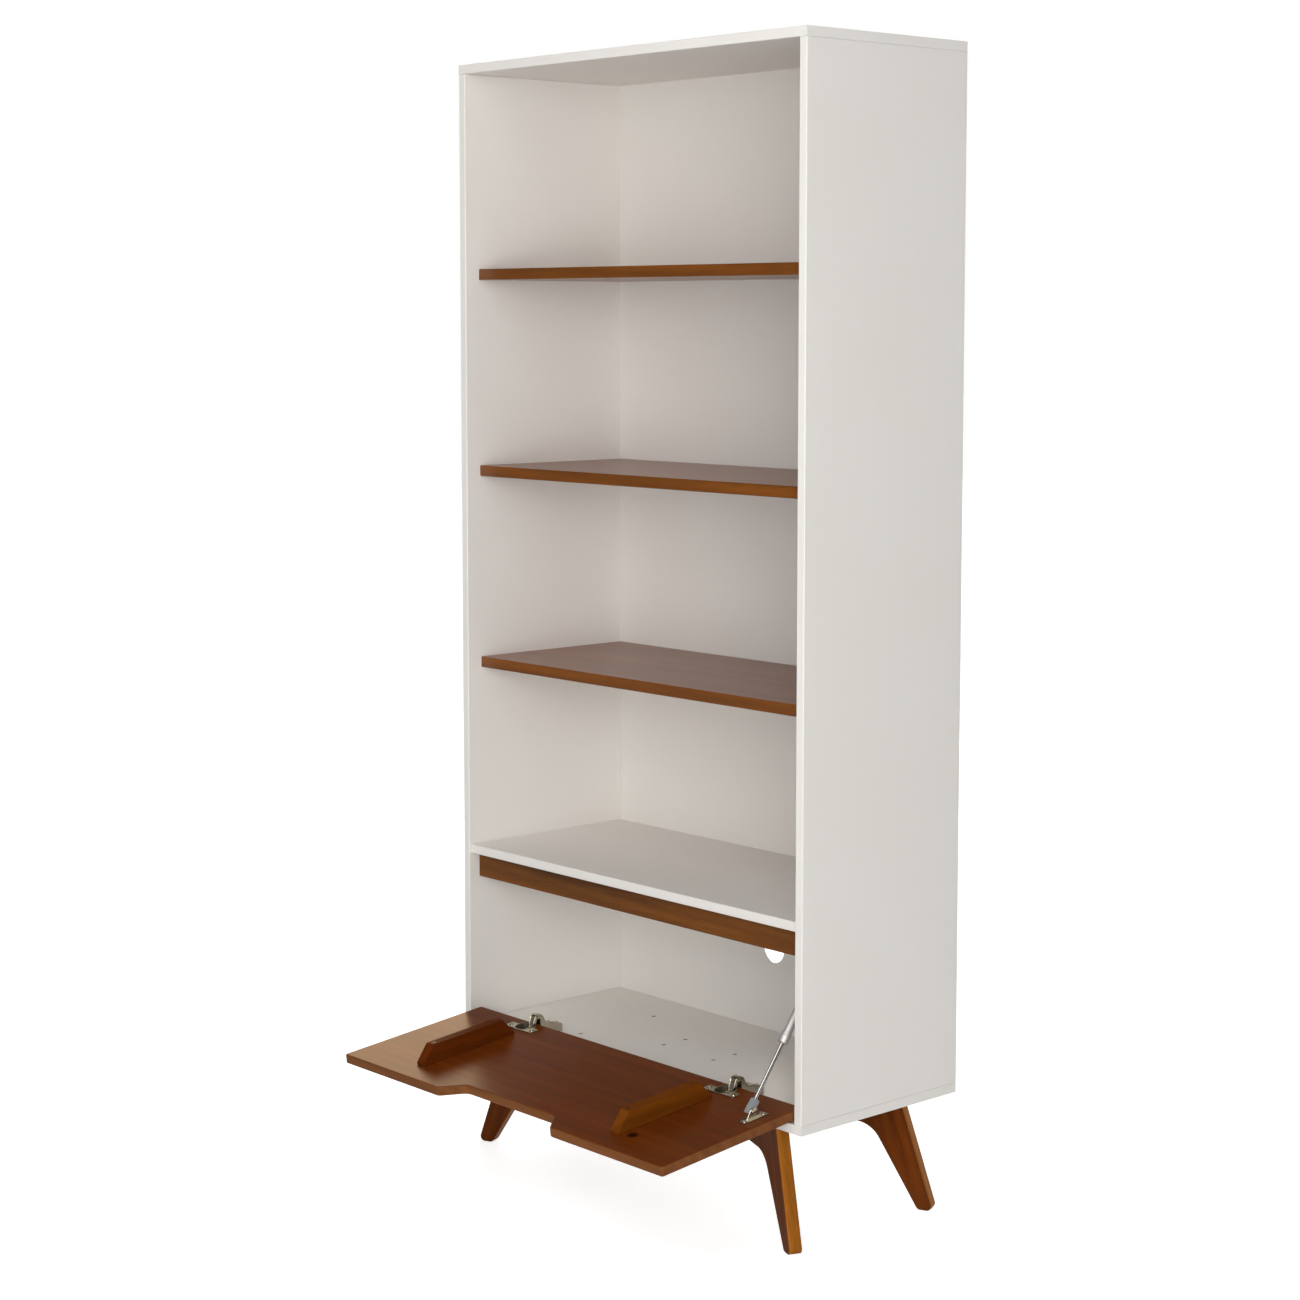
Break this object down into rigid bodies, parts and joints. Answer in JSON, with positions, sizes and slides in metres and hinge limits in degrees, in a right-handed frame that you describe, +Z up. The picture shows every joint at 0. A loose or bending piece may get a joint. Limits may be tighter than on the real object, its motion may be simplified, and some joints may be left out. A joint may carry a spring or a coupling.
{
  "type": "bookcase with flap cabinet",
  "caption": "Tall open bookcase on a crossed splayed-leg base, with stained shelves over a cabinet whose flap drops open on concealed hinges and a gas strut.",
  "frame": {"origin": "on the floor, in the middle of the box round the bookcase with its flap open", "axes": "+X to the right seen from the front, +Y to the back panel, +Z up"},
  "size_m": [0.8, 0.5974, 1.793],
  "materials": {
    "white_lacquer": "satin off-white lacquer on board",
    "stained_wood": "orange-brown stain under satin varnish",
    "nickel": "nickel-plated pressed steel",
    "zinc_screws": "zinc-plated",
    "bright_steel": "polished",
    "grey_plastic": "moulded, fine matte",
    "black_plastic": "moulded, matte"
  },
  "bodies": {
    "case": {"top_panel": "white_lacquer", "bottom_panel": "white_lacquer", "side_panel_left": "white_lacquer", "side_panel_right": "white_lacquer", "back_panel": "white_lacquer", "fixed_shelf": "white_lacquer", "flap_stop_rail": "stained_wood", "shelf_lower": "stained_wood", "shelf_middle": "stained_wood", "shelf_upper": "stained_wood", "leg_front_left": "stained_wood", "leg_front_right": "stained_wood", "leg_rear_left": "stained_wood", "leg_rear_right": "stained_wood", "cross_rail_rising": "stained_wood", "cross_rail_falling": "stained_wood", "base_screw_rising_1": "zinc_screws", "base_screw_rising_2": "zinc_screws", "base_screw_rising_3": "zinc_screws", "base_screw_rising_4": "zinc_screws", "base_screw_falling_1": "zinc_screws", "base_screw_falling_2": "zinc_screws", "base_screw_falling_3": "zinc_screws", "base_screw_falling_4": "zinc_screws", "hinge_arm_left": "nickel", "hinge_arm_right": "nickel", "hinge_plate_left": "nickel", "hinge_plate_right": "nickel", "strut_side_bracket": "nickel"},
    "flap": {"flap_panel": "stained_wood", "flap_batten_left": "stained_wood", "flap_batten_right": "stained_wood", "batten_screw_left_near": "zinc_screws", "batten_screw_left_far": "zinc_screws", "batten_screw_right_near": "zinc_screws", "batten_screw_right_far": "zinc_screws", "hinge_cup_left": "nickel", "hinge_cup_right": "nickel", "hinge_pin_left": "zinc_screws", "hinge_pin_right": "zinc_screws", "strut_foot_bracket": "nickel", "strut_foot_pin": "nickel"},
    "rod": {"strut_rod": "bright_steel", "strut_rod_socket": "grey_plastic", "strut_piston": "black_plastic"},
    "tube": {"strut_tube": "bright_steel", "strut_collar": "bright_steel", "strut_gland": "black_plastic", "strut_tube_eye": "grey_plastic"}
  },
  "joints": [
    {"name": "flap_hinge", "type": "hinge", "parent": "case", "child": "flap", "pos_m": [0, -0.02761, 0.2175], "axis": [1, 0, 0], "range_deg": [-96, 0]},
    {"name": "strut_foot_pivot", "type": "hinge", "parent": "flap", "child": "rod", "pos_m": [0.3505, -0.09534, 0.23049], "axis": [1, 0, 0], "range_deg": [0, 110.55]},
    {"name": "strut_stroke", "type": "slide", "parent": "rod", "child": "tube", "axis": [0, 0.5948, 0.8039], "range_m": [-0.08982, 0]}
  ],
  "couplings": [
    {"joint": "strut_foot_pivot", "follows": "flap_hinge", "ratio": -1.1516},
    {"joint": "strut_stroke", "follows": "flap_hinge", "m_per_rad": 0.053605}
  ]
}
